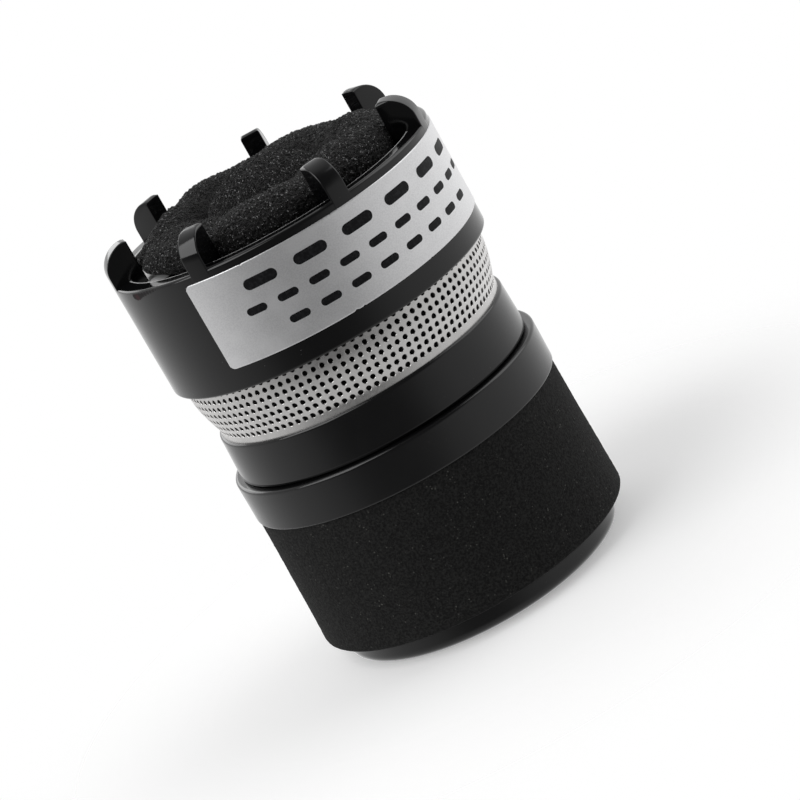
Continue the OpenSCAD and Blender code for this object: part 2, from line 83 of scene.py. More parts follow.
# Rounding of the rim's outer edge, which is wider than it is tall
RIM_WIDE, RIM_TALL = 0.4, 0.3
LABEL_SPAN, LABEL_CORNER = 136, 0.6
SCREEN_R, SCREEN_T, SCREEN_STRIP = 16.02, 0.35, 0.9
HOLE_R, HOLE_COUNT, HOLE_TURN = 0.27, 112, 0.8
HOLE_ROWS, HOLE_PITCH, HOLE_FIRST = 7, 0.9, 0.95
BAND_TAPER, NECK_R, NECK_IN_R = 0.2, 15.37, 14.37
BAND_TOP_R = BAND_R - BAND_TAPER
SPIGOT_R, SPIGOT_IN_R = 15.3, 14.4
STACK_R, MOTOR_BORE_R = 16, 13.47
WEB_Z, YOKE_Z, PLATE_Z, WEB_BORE_R = 24.2, 25.8, 36.8, 9
PORT_COUNT, PORT_H, PORT_SPAN = 6, 4.6, 40
SLOT_COUNT, SLOT_R, SLOT_SPAN = 8, 13.4, 24
CUP_WALL, CUP_FLOOR, RECESS_R, RECESS_H, BOSS_WALL = 1.3, 1.6, 8, 2.4, 1.6
CUP_IN_R = CUP_R - CUP_WALL
TERMINAL_X, LEAD_HOLE_R = 4, 0.5
# Clearances between pieces that sit inside each other: a close one, and the foam's in the deck
FIT_GAP, PLUG_GAP = 0.1, 0.2
# How much the soft sleeve widens towards its lower edge
SLEEVE_FLARE = 0.32

# Front foam: middle dome, sharp crease and outer ridge, as radii and heights above the deck
FOAM_CREASE_R, FOAM_CREST_R = 6.4, 11
FOAM_DOME_H, FOAM_CREASE_H, FOAM_RIDGE_H, FOAM_EDGE_H = 4.6, 1.2, 3.6, 1.2
# Painted shade in and beside the crease, a dark ring in the foam's colour: its radius, and how far it fades
# inwards and outwards
FOAM_SHADE_R, FOAM_SHADE_IN, FOAM_SHADE_OUT = FOAM_CREASE_R + 0.9, 1.7, 3.8
# Bulge of the foam's edge between the claws, and how much a claw draws it in and pushes the ridge down
FOAM_BULGE, FOAM_DRAW, FOAM_PINCH, FOAM_PINCH_SPAN = 0.3, 0.25, 0.45, 8
# Uneven height of the ridge as waves: depth, number round the disc and shift
FOAM_SWAY = ((0.12, 2, 40), (0.08, 5, 0))
# Noises of the foam's face and of the sleeve's: depth, size of a grain and seed
FOAM_GRAINS = ((0.22, 0.28, 5), (0.1, 3.5, 9))
SLEEVE_GRAINS = ((0.03, 5, 3), (0.03, 0.45, 7), (0.02, 0.22, 11))
# Stretch where the foam's edge is tucked under: its angle, its width and how far
FOAM_TUCK_TURN, FOAM_TUCK_SPAN, FOAM_TUCK = -104, 22, 2.1
# Stretch where the ridge's outer flank lies slack: its angle, its width and how much
FOAM_SLACK_TURN, FOAM_SLACK_SPAN, FOAM_SLACK = -136, 24, 0.85
# Stretches where the ridge is sunk: angle, width and depth
FOAM_DIPS = ((159, 11, 0.6), (102, 14, 0.5))

# Turn of the label's middle, which faces -Y
FRONT = -90

# Small dark red stain near the rim: its place, then spots as turn, rise, reach and strength
STAIN_TURN, STAIN_Z = -90, RIM_Z - 0.6
STAIN_SPOTS = (
    (-3.4, 0, 0.42, 1), (-2.2, -0.04, 0.5, 1), (-0.8, 0, 0.5, 1), (0.6, 0.06, 0.42, 1),
    (2.2, 0.13, 0.36, 1), (3.8, 0.19, 0.32, 1), (5.4, 0.25, 0.3, 1), (7, 0.3, 0.28, 0.95),
    (8.6, 0.35, 0.26, 0.9), (10, 0.4, 0.22, 0.8))
# Its redder heart, as turn, rise and the two distances between which it fades
STAIN_HEART = (-1.6, -0.08, 0.15, 0.6)
STAIN_DARK, STAIN_RED = (0.006, 0.004, 0.0045), (0.03, 0.006, 0.009)

# Painted highlight along the rim's inner edge, a pale line in the colour that stands in for light caught by
# that edge: how far outside that edge it runs, its half width and its depth
RIM_HIGHLIGHT_OUT, RIM_HIGHLIGHT_HALF, RIM_HIGHLIGHT_DEEP = 0.13, 0.17, 0.3
# Colour of the painted highlight
RIM_HIGHLIGHT_PAINT = (0.8, 0.8, 0.8)

# Painted reflection on the ledge beside the foam, a pale patch in the colour of the black ledge: the angles
# and the radius of its two spots, and their reach
LEDGE_TURNS, LEDGE_R, LEDGE_REACH = (-126, -108), 14.6, 3.3
LEDGE_REFLECTION_PAINT = (0.95, 0.95, 0.95)

# Camera, placed in a frame whose -Y runs to the camera, then turned with the label
VIEW_TURN = -29.25
CAMERA_AT = Vector((1.48, -333.32, 114.78))
CAMERA_TILT = 15.69
CAMERA_ROLL = -29.603
CAMERA_LENS = 151.88


def link(obj):
    """Puts an object into the scene."""
    bpy.context.scene.collection.objects.link(obj)
    return obj


def smooth(mesh, sharp_angle):
    """Smooth shading, with edges that turn by more than an angle left sharp."""
    mesh.polygons.foreach_set("use_smooth", [True] * len(mesh.polygons))
    mesh.set_sharp_from_angle(angle=math.radians(sharp_angle))


def mesh_object(name, points, faces, look, sharp_angle=SHARP):
    """A piece from points in millimetres, with doubles merged and normals turned outwards."""
    mesh = bpy.data.meshes.new(name)
    mesh.from_pydata([Vector(p) * MM for p in points], [], faces)
    build = bmesh.new()
    build.from_mesh(mesh)
    bmesh.ops.remove_doubles(build, verts=build.verts, dist=MERGE * MM)
    bmesh.ops.recalc_face_normals(build, faces=build.faces)
    build.to_mesh(mesh)
    build.free()
    smooth(mesh, sharp_angle)
    mesh.materials.append(look)
    return link(bpy.data.objects.new(name, mesh))


def around(radius, angle, z):
    """Point on the capsule, with angles counted from the middle of the label towards +X."""
    turn = math.radians(FRONT + angle)
    return (radius * math.cos(turn), radius * math.sin(turn), z)


def quarter(steps, last=True):
    """Angles of a quarter turn in radians, in equal steps, with or without the last one."""
    return [math.radians(90 * k / steps) for k in range(steps + 1 if last else steps)]


def skin(n, rows, ring=False, loop=True):
    """Faces between rows of n points: each row a loop or open, the rows joined into a ring or capped."""
    faces = []
    for i in range(rows if ring else rows - 1):
        here, there = i * n, (i + 1) % rows * n
        for k in range(n if loop else n - 1):
            after = (k + 1) % n
            faces.append((here + k, here + after, there + after, there + k))
    if not ring:
        faces += [tuple(range(n)), tuple(range((rows - 1) * n, rows * n))]
    return faces


def fillet(corners):
    """Outline of (radius, height) points in which each corner (radius, height, bend) becomes an arc.

    A point just outside each end of an arc keeps its shading off the straight stretches.
    """
    steps, outline = 6, []
    for i, (r, z, bend) in enumerate(corners):
        here = Vector((r, z))
        if not bend:
            outline.append(here)
            continue
        before = (Vector(corners[i - 1][:2]) - here).normalized()
        after = (Vector(corners[(i + 1) % len(corners)][:2]) - here).normalized()
        half = before.angle(after) / 2
        reach, guard = bend / math.tan(half), GUARD_LEAST + GUARD_SHARE * bend
        middle = here + (before + after).normalized() * bend / math.sin(half)
        first, last = here + before * reach - middle, here + after * reach - middle
        start = math.atan2(first.y, first.x)
        sweep = (math.atan2(last.y, last.x) - start + math.pi) % (2 * math.pi) - math.pi
        outline.append(here + before * (reach + guard))
        for k in range(steps + 1):
            a = start + sweep * k / steps
            outline.append(middle + bend * Vector((math.cos(a), math.sin(a))))
        outline.append(here + after * (reach + guard))
    return outline


def lathe_grid(outline, angles, closed):
    """Points and faces of an outline turned through angles, closed all round or capped at both ends."""
    points = [around(p[0], a, p[1]) for a in angles for p in outline]
    return points, skin(len(outline), len(angles), closed)


def lathe(name, outline, look, segments=252, turn=0):
    """A piece from an outline turned all the way round."""
    angles = [turn + 360 * i / segments for i in range(segments)]
    return mesh_object(name, *lathe_grid(outline, angles, True), look)


def bake_modifiers(obj):
    """Replaces an object's mesh by what its modifiers make of it."""
    bpy.context.view_layer.update()
    seen = obj.evaluated_get(bpy.context.evaluated_depsgraph_get())
    mesh = bpy.data.meshes.new_from_object(seen)
    obj.modifiers.clear()
    obj.data = mesh
    smooth(mesh, SHARP)


def combine(obj, others, operation):
    """Joins others to obj, or cuts them out of it, as solids."""
    for other in others:
        step = obj.modifiers.new("combine", "BOOLEAN")
        step.operation = operation
        step.solver = "EXACT"
        step.object = other
    bake_modifiers(obj)
    for other in others:
        bpy.data.objects.remove(other)


class Look:
    """A procedural material being built, with a short call for each kind of node."""

    def __init__(self, name, color, roughness, **sockets):
        self.material = bpy.data.materials.new(name)
        self.material.use_nodes = True
        self.nodes = self.material.node_tree.nodes
        self.links = self.material.node_tree.links
        self.shader = self.nodes["Principled BSDF"]
        self.shader.inputs["Base Color"].default_value = (*color, 1)
        self.shader.inputs["Roughness"].default_value = roughness
        for socket, value in sockets.items():
            self.shader.inputs[socket.replace("_", " ")].default_value = value
        self.place = self.nodes.new("ShaderNodeTexCoord").outputs["Object"]

    def feed(self, socket, value):
        """Links a value or another node's output to a socket."""
        if isinstance(value, bpy.types.NodeSocket):
            self.links.new(value, socket)
        else:
            socket.default_value = value

    def stretched(self, stretch):
        """The place on the piece, multiplied by a share for each axis."""
        node = self.nodes.new("ShaderNodeVectorMath")
        node.operation = "MULTIPLY"
        self.links.new(self.place, node.inputs[0])
        node.inputs[1].default_value = stretch
        return node.outputs["Vector"]

    def noise(self, size, detail=2.0, stretch=None):
        """Soft noise with grains of about a size in millimetres."""
        node = self.nodes.new("ShaderNodeTexNoise")
        self.links.new(self.stretched(stretch) if stretch else self.place, node.inputs["Vector"])
        node.inputs["Scale"].default_value = 1 / (size * MM)
        node.inputs["Detail"].default_value = detail
        return node.outputs["Fac"]

    def cells(self, size, feature="F1"):
        """Cell pattern with cells of about a size in millimetres."""
        node = self.nodes.new("ShaderNodeTexVoronoi")
        node.feature = feature
        self.links.new(self.place, node.inputs["Vector"])
        node.inputs["Scale"].default_value = 1 / (size * MM)
        return node.outputs["Distance"]

    def math(self, operation, a, b):
        """Result of an operation on two values or outputs."""
        node = self.nodes.new("ShaderNodeMath")
        node.operation = operation
        self.feed(node.inputs[0], a)
        self.feed(node.inputs[1], b)
        return node.outputs[0]

    def step(self, value, low, high, to_low=0.0, to_high=1.0):
        """Carries a value from one range to another, clamped and eased."""
        node = self.nodes.new("ShaderNodeMapRange")
        node.interpolation_type = "SMOOTHSTEP"
        self.feed(node.inputs["Value"], value)
        for socket, number in zip(("From Min", "From Max", "To Min", "To Max"), (low, high, to_low, to_high)):
            node.inputs[socket].default_value = number
        return node.outputs["Result"]

    def mix(self, factor, a, b):
        """Colour between two others, a where the factor is 0 and b where it is 1."""
        node = self.nodes.new("ShaderNodeMix")
        node.data_type = "RGBA"
        self.feed(node.inputs[0], factor)
        for socket, color in ((node.inputs[6], a), (node.inputs[7], b)):
            self.feed(socket, (*color, 1) if isinstance(color, tuple) else color)
        return node.outputs[2]

    def near(self, centre, low, high):
        """Mask that is 1 near a point and falls to 0 between two distances."""
        node = self.nodes.new("ShaderNodeVectorMath")
        node.operation = "DISTANCE"
        self.links.new(self.place, node.inputs[0])
        node.inputs[1].default_value = Vector(centre) * MM
        return self.step(node.outputs["Value"], low * MM, high * MM, 1, 0)

    def off_circle(self, radius, inward, outward):
        """Mask that is 0 on a circle about the axis and rises to 1 over a distance to either side."""
        flat = self.nodes.new("ShaderNodeVectorMath")
        flat.operation = "LENGTH"
        self.links.new(self.stretched((1, 1, 0)), flat.inputs[0])
        off = self.math("SUBTRACT", flat.outputs["Value"], radius * MM)
        inside = self.step(off, -inward * MM, 0, 1, 0)
        return self.math("MAXIMUM", inside, self.step(off, 0, outward * MM))

    def below(self, level, fade):
        """Mask that is 1 up to a level and falls to 0 over a height above it."""
        height = self.nodes.new("ShaderNodeVectorMath")
        height.operation = "LENGTH"
        self.links.new(self.stretched((0, 0, 1)), height.inputs[0])
        return self.step(height.outputs["Value"], level * MM, (level + fade) * MM, 1, 0)

    def source(self, socket):
        """The output that is linked to one of the shader's sockets."""
        return self.shader.inputs[socket].links[0].from_socket

    def color(self, value):
        """Feeds the base colour."""
        self.feed(self.shader.inputs["Base Color"], value)

    def roughness(self, value):
        """Feeds the roughness."""
        self.feed(self.shader.inputs["Roughness"], value)

    def bump(self, height, depth):
        """Bump of a depth in millimetres, laid over any bump that came before."""
        node = self.nodes.new("ShaderNodeBump")
        node.inputs["Distance"].default_value = depth * MM
        node.inputs["Strength"].default_value = 1
        self.links.new(height, node.inputs["Height"])
        socket = self.shader.inputs["Normal"]
        if socket.is_linked:
            self.links.new(socket.links[0].from_socket, node.inputs["Normal"])
        self.links.new(node.outputs["Normal"], socket)


def gloss_black(name, color, roughness):
    """Glossy black moulding with a slightly uneven face, faint haze and fine dust."""
    dust_pitch, dust_patch, haze_size, swell_size, swell_depth = 0.8, 2.2, 4, 1.8, 0.0012
    look = Look(name, color, roughness, IOR=1.52)
    grain = look.step(look.cells(dust_pitch), 0.07, 0.03)
    speck = look.math("MULTIPLY", grain, look.step(look.noise(dust_patch), 0.56, 0.64))
    pale = tuple(c + 0.1 for c in color)
    look.color(look.mix(speck, color, pale))
    haze = look.step(look.noise(haze_size, 4), 0.35, 0.75, roughness * 0.8, roughness * 1.7)
    look.roughness(look.math("ADD", haze, look.math("MULTIPLY", speck, 0.3)))
    look.bump(look.noise(swell_size, 1), swell_depth)
    return look


def stain_mask(look):
    """The stain's spots together, with a ragged edge."""
    full_share, ragged_size = 0.6, 0.9
    mark = 0.0
    for turn, rise, reach, strength in STAIN_SPOTS:
        spot = look.near(around(CAP_R, STAIN_TURN + turn, STAIN_Z + rise), reach * full_share, reach)
        mark = look.math("MAXIMUM", look.math("MULTIPLY", spot, strength), mark)
    return look.math("MULTIPLY", mark, look.step(look.noise(ragged_size, 3), 0.05, 0.32))


def painted_rim_highlight_mask(look):
    """The painted highlight along the rim's inner edge, at the rim's level only."""
    above, fade_above, fade_below = 0.01, 0.02, 0.1
    off = look.off_circle(CAP_IN_R + RIM_HIGHLIGHT_OUT, RIM_HIGHLIGHT_HALF, RIM_HIGHLIGHT_HALF)
    top, bottom = look.below(RIM_Z + above, fade_above), look.below(RIM_Z - RIM_HIGHLIGHT_DEEP, fade_below)
    level = look.math("SUBTRACT", top, bottom)
    return look.math("MULTIPLY", look.math("SUBTRACT", 1, off), level)


def painted_ledge_reflection_mask(look):
    """The painted reflection, a pale patch on the ledge beside the foam, at the ledge's level only."""
    full, above, fade_above = LEDGE_REACH * 0.85, 0.02, 0.05
    spots = [look.near(around(LEDGE_R, turn, DECK_Z), full, LEDGE_REACH) for turn in LEDGE_TURNS]
    return look.math("MULTIPLY", look.math("MAXIMUM", *spots), look.below(DECK_Z + above, fade_above))


def cap_gloss():
    """The cap's gloss, with a painted highlight along its rim's inner edge, a painted reflection as a pale
    patch on the ledge and the small dark red stain.
    """
    look = gloss_black("cap_plastic", DEEP_BLACK, 0.1)
    # Painted highlight: the rim's inner edge made pale in the colour
    base = look.mix(painted_rim_highlight_mask(look), look.source("Base Color"), RIM_HIGHLIGHT_PAINT)
    # Painted reflection: a pale patch on the ledge beside the foam
    base = look.mix(painted_ledge_reflection_mask(look), base, LEDGE_REFLECTION_PAINT)
    mark = stain_mask(look)
    turn, rise, full, gone = STAIN_HEART
    heart = look.near(around(CAP_R, STAIN_TURN + turn, STAIN_Z + rise), full, gone)
    look.color(look.mix(mark, base, look.mix(heart, STAIN_DARK, STAIN_RED)))
    look.roughness(look.math("MAXIMUM", look.source("Roughness"), look.math("MULTIPLY", mark, 0.9)))
    return look.material


def foil():
    """Silver foil with a very fine grain and a few faint dents."""
    grain_size, cloud_size, dent_size, depth = 0.14, 3.5, 2.5, 0.003
    look = Look("foil", (0.86, 0.86, 0.87), 0.32, Metallic=0.75)
    grain = look.noise(grain_size, 2)
    cloud = look.noise(cloud_size, 3)
    tone = look.mix(look.step(grain, 0.3, 0.7), (0.8, 0.8, 0.81), (0.9, 0.9, 0.91))
    look.color(look.mix(look.step(cloud, 0.45, 0.8), tone, (0.92, 0.92, 0.93)))
    look.roughness(look.step(cloud, 0.3, 0.7, 0.3, 0.35))
    look.bump(grain, depth)
    look.bump(look.noise(dent_size, 2), depth)
    return look.material


def bright_sheet(name, color, roughness):
    """Bright punched sheet with a fine rolled grain."""
    cloud_size, haze_size, grain_size, grain_depth = 1.8, 0.35, 0.3, 0.0015
    look = Look(name, color, roughness, Metallic=1.0)
    cloud = look.step(look.noise(cloud_size, 2), 0.3, 0.7)
    look.color(look.mix(cloud, tuple(c * 0.92 for c in color), color))
    look.roughness(look.step(look.noise(haze_size, 3), 0.3, 0.7, roughness * 0.85, roughness * 1.2))
    look.bump(look.noise(grain_size, 2), grain_depth)
    return look.material


def open_foam(name, dark, mid, pale, cell):
    """Open-cell foam: dark pores, strands between them, painted glints where scattered strands would catch
    the light, and painted shade in the crease.
    """
    strand_depth = cell * 0.25
    look = Look(name, mid, 0.8, Specular_IOR_Level=0.25, Sheen_Weight=0.12, Sheen_Roughness=0.4)
    web = look.step(look.cells(cell, "DISTANCE_TO_EDGE"), 0.14, 0.03)
    grain = look.step(look.noise(cell * 0.5, 2), 0.4, 0.62)
    body = look.mix(look.math("MULTIPLY", web, grain), dark, mid)
    # Painted glints: scattered strands made pale in the colour where they would catch the light
    fleck = look.step(look.cells(cell * 0.55), 0.42, 0.22)
    chance = look.step(look.noise(cell * 0.9, 2), 0.53, 0.6)
    painted_glint = look.math("MULTIPLY", fleck, chance)
    # Painted shade: the foam's colour darkened in and beside the crease
    clear_of_painted_shade = look.off_circle(FOAM_SHADE_R, FOAM_SHADE_IN, FOAM_SHADE_OUT)
    look.color(look.mix(clear_of_painted_shade, dark, look.mix(painted_glint, body, pale)))
    look.bump(web, strand_depth)
    look.bump(painted_glint, strand_depth)
    return look.material


def fine_foam(name, dark, mid, pale):
    """Fine-cell foam with tiny pores and sparse pale specks."""
    pore_size, grain_size, speck_pitch, speck_patch, depth = 0.2, 0.24, 0.4, 0.9, 0.03
    look = Look(name, dark, 0.9, Specular_IOR_Level=0.2)
    pores = look.step(look.cells(pore_size), 0.15, 0.5)
    grain = look.step(look.noise(grain_size, 3), 0.3, 0.65)
    body = look.mix(look.math("MULTIPLY", pores, grain), dark, mid)
    spread = look.step(look.noise(speck_patch), 0.5, 0.75)
    speck = look.math("MULTIPLY", look.step(look.cells(speck_pitch), 0.28, 0.1), spread)
    look.color(look.mix(speck, body, pale))
    look.bump(pores, depth)
    look.bump(grain, depth)
    return look.material


def soft_cloth(name, color, pitch):
    """Cloth or felt, seen as fine crossing threads and loose fibres."""
    look = Look(name, color, 0.9, Sheen_Weight=0.2)
    thread = look.noise(pitch, 3)
    low, high = (tuple(c * share for c in color) for share in (0.6, 1.3))
    look.color(look.mix(look.step(thread, 0.35, 0.65), low, high))
    look.bump(thread, pitch * 0.3)
    return look.material


def plain_metal(name, color, roughness, grain, stretch=None):
    """Plated or ground metal with a fine grain."""
    look = Look(name, color, roughness, Metallic=1.0)
    fine = look.noise(grain, 3, stretch)
    look.color(look.mix(look.step(fine, 0.3, 0.7), tuple(c * 0.75 for c in color), color))
    look.roughness(look.step(fine, 0.3, 0.7, roughness * 0.8, roughness * 1.3))
    look.bump(fine, 0.004)
    return look.material


def plain_plastic(name, color, roughness, grain=0.4):
    """Plastic, rubber, board or film with a fine grain."""
    look = Look(name, color, roughness)
    fine = look.noise(grain, 3)
    low, high = (tuple(c * share for c in color) for share in (0.75, 1.15))
    look.color(look.mix(look.step(fine, 0.3, 0.7), low, high))
    look.bump(fine, 0.01)
    return look.material


def ink():
    """Dark print on the foil, slightly uneven."""
    look = Look("ink", (0.008, 0.008, 0.009), 0.5, Specular_IOR_Level=0.15)
    cloud = look.step(look.noise(0.3, 3), 0.4, 0.75)
    look.color(look.mix(cloud, (0.006, 0.006, 0.007), (0.02, 0.02, 0.022)))
    return look.material


DEEP_BLACK, SOFT_BLACK = (0.002, 0.002, 0.0023), (0.0045, 0.0045, 0.0048)
# Shades of the two foams, from the pores over the strands to the palest: painted glints of strands on the
# front foam, pale specks on the sleeve
FOAM_SHADES = ((0.001, 0.001, 0.001), (0.011, 0.011, 0.0115), (0.45, 0.45, 0.455))
SLEEVE_SHADES = ((0.007, 0.007, 0.007), (0.023, 0.023, 0.0225), (0.13, 0.13, 0.12))

# The look of each material slot of the record
LOOKS = {
    "cap_plastic": cap_gloss(),
    "cup_plastic": gloss_black("cup_plastic", DEEP_BLACK, 0.12).material,
    "collar_plastic": gloss_black("collar_plastic", SOFT_BLACK, 0.13).material,
    "housing_plastic": gloss_black("housing_plastic", SOFT_BLACK, 0.13).material,
    "inner_plastic": plain_plastic("inner_plastic", (0.05, 0.05, 0.05), 0.6),
    "foil": foil(),
    "screen_steel": bright_sheet("screen_steel", (0.72, 0.71, 0.7), 0.3),
    "grille_steel": bright_sheet("grille_steel", (0.6, 0.6, 0.62), 0.35),
    "front_foam": open_foam("front_foam", *FOAM_SHADES, 0.34),
    "sleeve_foam": fine_foam("sleeve_foam", *SLEEVE_SHADES),
    "felt": soft_cloth("felt", (0.35, 0.34, 0.32), 0.4),
    "damping_cloth": soft_cloth("damping_cloth", (0.01, 0.01, 0.01), 0.2),
    "rubber_seal": plain_plastic("rubber_seal", (0.03, 0.03, 0.03), 0.7),
    "board": plain_plastic("board", (0.18, 0.09, 0.04), 0.5, 0.25),
    "tinned_brass": plain_metal("tinned_brass", (0.7, 0.68, 0.6), 0.3, 0.3),
    "iron": plain_metal("iron", (0.55, 0.55, 0.57), 0.35, 0.4),
    "magnet_alloy": plain_metal("magnet_alloy", (0.2, 0.2, 0.21), 0.5, 0.3),
    "copper": plain_metal("copper", (0.6, 0.28, 0.12), 0.35, 0.12, (0.05, 0.05, 1)),
    "film": plain_plastic("film", (0.7, 0.68, 0.6), 0.3),
    "lead_red": plain_plastic("lead_red", (0.4, 0.03, 0.02), 0.45),
    "lead_black": plain_plastic("lead_black", (0.03, 0.03, 0.03), 0.45),
}
INK = ink()


def dress_cad_nodes():
    """Gives every CAD node the look of its material slot."""
    for row in frame["record"]["subparts"]:
        for slot in frame["nodes"][row["node"]].material_slots:
            slot.material = LOOKS[row["material_slot"]]


def finish_piece(obj, slot, *nodes):
    """Ties a piece to the capsule's body and hides the CAD nodes that it stands for; the material slot that
    it is given is not used.
    """
    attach(obj, "root")
    if nodes:
        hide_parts(*nodes)
    return obj


def claw_outline():
    """Side view of a claw as (radius, height) points, from its inner foot round to its tip.

    Its foot is sunk into the deck and into the cap's wall.
    """
    steps, sunk, proud = 20, 0.2, 0.004
    clear_in, clear_out, slope = 0.4, 0.3, 0.15
    inner, foot = CAP_R - CLAW_DEPTH, DECK_Z - sunk
    outer, root = CAP_R + proud, RIM_Z - RIM_TALL - sunk
    reach, rise = outer - inner - CLAW_FLAT, CLAW_H - CLAW_UPRIGHT
    outline = [(inner, foot), (CAP_IN_R + clear_in, foot), (CAP_R - clear_out, root - slope)]
    outline += [(outer, root), (outer, RIM_Z)]
    for a in quarter(steps):
        outline.append((inner + CLAW_FLAT + reach * math.cos(a), RIM_Z + CLAW_UPRIGHT + rise * math.sin(a)))
    outline.append((inner, TIP_Z - CLAW_FLAT / 2))
    return outline


def inset(outline, distance):
    """Moves an anticlockwise outline inwards by a distance."""
    least_turn = 0.4
    moved = []
    for i, point in enumerate(outline):
        here = Vector(point)
        before = (here - Vector(outline[i - 1])).normalized()
        after = (Vector(outline[(i + 1) % len(outline)]) - here).normalized()
        across = Vector((-after.y, after.x))
        inward = (Vector((-before.y, before.x)) + across).normalized()
        moved.append(here + inward * distance / max(least_turn, inward.dot(across)))
    return moved


def claw_slices():
    """Distances across a claw from its middle, each with how far its outline is drawn in there."""
    beside_middle, corner_angles, edge_steps = 0.3, (20, 38), 4
    half = CLAW_W / 2
    corner = half - CLAW_CORNER
    slices = [(x, 0) for x in (0, beside_middle, corner)]
    slices += [(corner + CLAW_CORNER * math.sin(math.radians(a)), 0) for a in corner_angles]
    slices += [
        (half - CLAW_EDGE * (1 - math.sin(a)), CLAW_EDGE * (1 - math.cos(a))) for a in quarter(edge_steps)]
    return [(-x, draw) for x, draw in reversed(slices[1:])] + slices


def claw(index):
    """One claw of the crown, with rounded top corners and eased edges."""
    angle = CLAW_TURN + 360 * index / CLAW_COUNT
    along, across = Vector(around(1, angle, 0)), Vector(around(1, angle + 90, 0))
    half = CLAW_W / 2
    outline, slices = claw_outline(), claw_slices()
    points = []
    for x, draw in slices:
        over = max(0, abs(x) - (half - CLAW_CORNER))
        top = TIP_Z - CLAW_CORNER + math.sqrt(max(0, CLAW_CORNER ** 2 - over ** 2))
        for r, z in inset([(r, min(z, top)) for r, z in outline], draw):
            points.append(along * math.sqrt(r * r - x * x) + across * x + Vector((0, 0, z)))
    return mesh_object("claw", points, skin(len(outline), len(slices)), LOOKS["cap_plastic"])


def front_cap():
    """Cap with its thin skirt, rounded rim, sunk deck and crown of claws."""
    rim_steps, below_rim, turns_per_claw = 12, 0.15, 72
    rim = [
        (CAP_R - RIM_WIDE * (1 - math.cos(a)), RIM_Z - RIM_TALL * (1 - math.sin(a)), 0)
        for a in quarter(rim_steps)
    ]
    wall = [(SKIRT_IN_R, SKIRT_Z, 0.1), (CAP_R, SKIRT_Z, 0.25), (CAP_R, RIM_Z - RIM_TALL - below_rim, 0)]
    inside = [
        (CAP_IN_R, RIM_Z, 0.12), (CAP_IN_R, DECK_Z, 0.3), (DECK_IN_R, DECK_Z, 0.1),
        (DECK_IN_R, FLANGE_Z, 0.1), (CAP_IN_R, FLANGE_Z, 0), (CAP_IN_R, SCREEN_TOP_Z, 0),
        (SKIRT_IN_R, SCREEN_TOP_Z, 0)]
    outline = fillet(wall + rim + inside)
    cap = lathe("cap", outline, LOOKS["cap_plastic"], turns_per_claw * CLAW_COUNT, CLAW_TURN)
    combine(cap, [claw(i) for i in range(CLAW_COUNT)], "UNION")
    finish_piece(cap, "cap_plastic", "front_cap")


# Nicks in the label's edges: angle from its middle, width and depth, with the depth negative at the top
LABEL_NICKS = (
    (-22.3, 0.5, 0.14), (-19.6, 0.3, 0.1), (-46.8, 0.35, -0.08), (-15.2, 0.3, -0.07), (8.5, 0.25, 0.06))


def label_edge(angle, side):
    """How far the label's edge is cut in at an angle, by its round corners and by the nicks on one side."""
    s, half = abs(math.radians(angle)) * CAP_R, math.radians(LABEL_SPAN / 2) * CAP_R
    over = max(0, s - (half - LABEL_CORNER))
    cut = LABEL_CORNER - math.sqrt(max(0, LABEL_CORNER ** 2 - over ** 2))
    for middle, width, depth in LABEL_NICKS:
        off = abs(math.radians(angle - middle)) * CAP_R / (width / 2)
        if off < 1 and depth * side > 0:
            cut += abs(depth) * (1 - off)
    return cut


def foil_label():
    """Label as a thin curved sheet with round corners, a soft edge and a few nicks."""
    half_angle = LABEL_SPAN / 2
    thickness, edge, guard, rows, tuck = LABEL_R - CAP_R, 0.035, 0.08, 4, 0.02
    straight_steps, corner_steps = 180, 12
    corner = math.degrees(LABEL_CORNER / CAP_R)
    side = np.linspace(0, half_angle - corner, straight_steps, endpoint=False).tolist()
    side += [half_angle - corner * (1 - math.sin(a)) for a in quarter(corner_steps)]
    columns = []
    for angle in [-a for a in reversed(side[1:])] + side:
        low, high = LABEL_Z + label_edge(angle, 1), LABEL_TOP_Z - label_edge(angle, -1)
        from_end = math.radians(half_angle - abs(angle)) * CAP_R
        face = CAP_R + thickness * (0.5 + 0.5 * min(1, from_end / edge))
        column = [(CAP_R - tuck, low), (CAP_R + thickness / 2, low)]
        inside, rise = low + edge + guard, high - low - 2 * (edge + guard)
        column += [(face, low + edge)] + [(face, inside + rise * k / rows) for k in range(rows + 1)]
        column += [(face, high - edge), (CAP_R + thickness / 2, high), (CAP_R - tuck, high)]
        columns.append([around(r, angle, z) for r, z in column])
    points = [point for column in columns for point in column]
    label = mesh_object("label", points, skin(len(columns[0]), len(columns)), LOOKS["foil"], sharp_angle=60)
    finish_piece(label, "foil", "foil_label")


def curved_dash(middle, length, level, height, points, faces):
    """Adds a thin dark dash with round ends on the label, centred at an angle and a level."""
    radius, ends, steps, sunk, proud, least = height / 2, 6, 10, 0.01, 0.012, 0.01
    straight = length / 2 - radius
    places = [-straight - radius * math.cos(a) for a in quarter(ends)]
    places += [-straight + 2 * straight * k / steps for k in range(1, steps + 1)]
    places += [straight + radius * math.sin(a) for a in quarter(ends)[1:]]
    inner, outer = LABEL_R - sunk, LABEL_R + proud
    base = len(points)
    for s in places:
        over = max(0, abs(s) - straight)
        tall = max(least, math.sqrt(max(0, radius ** 2 - over ** 2)))
        angle = middle + math.degrees(s / LABEL_R)
        section = ((inner, level - tall), (outer, level - tall), (outer, level + tall), (inner, level + tall))
        points += [around(r, angle, z) for r, z in section]
    faces += [tuple(base + corner for corner in face) for face in skin(len(section), len(places))]


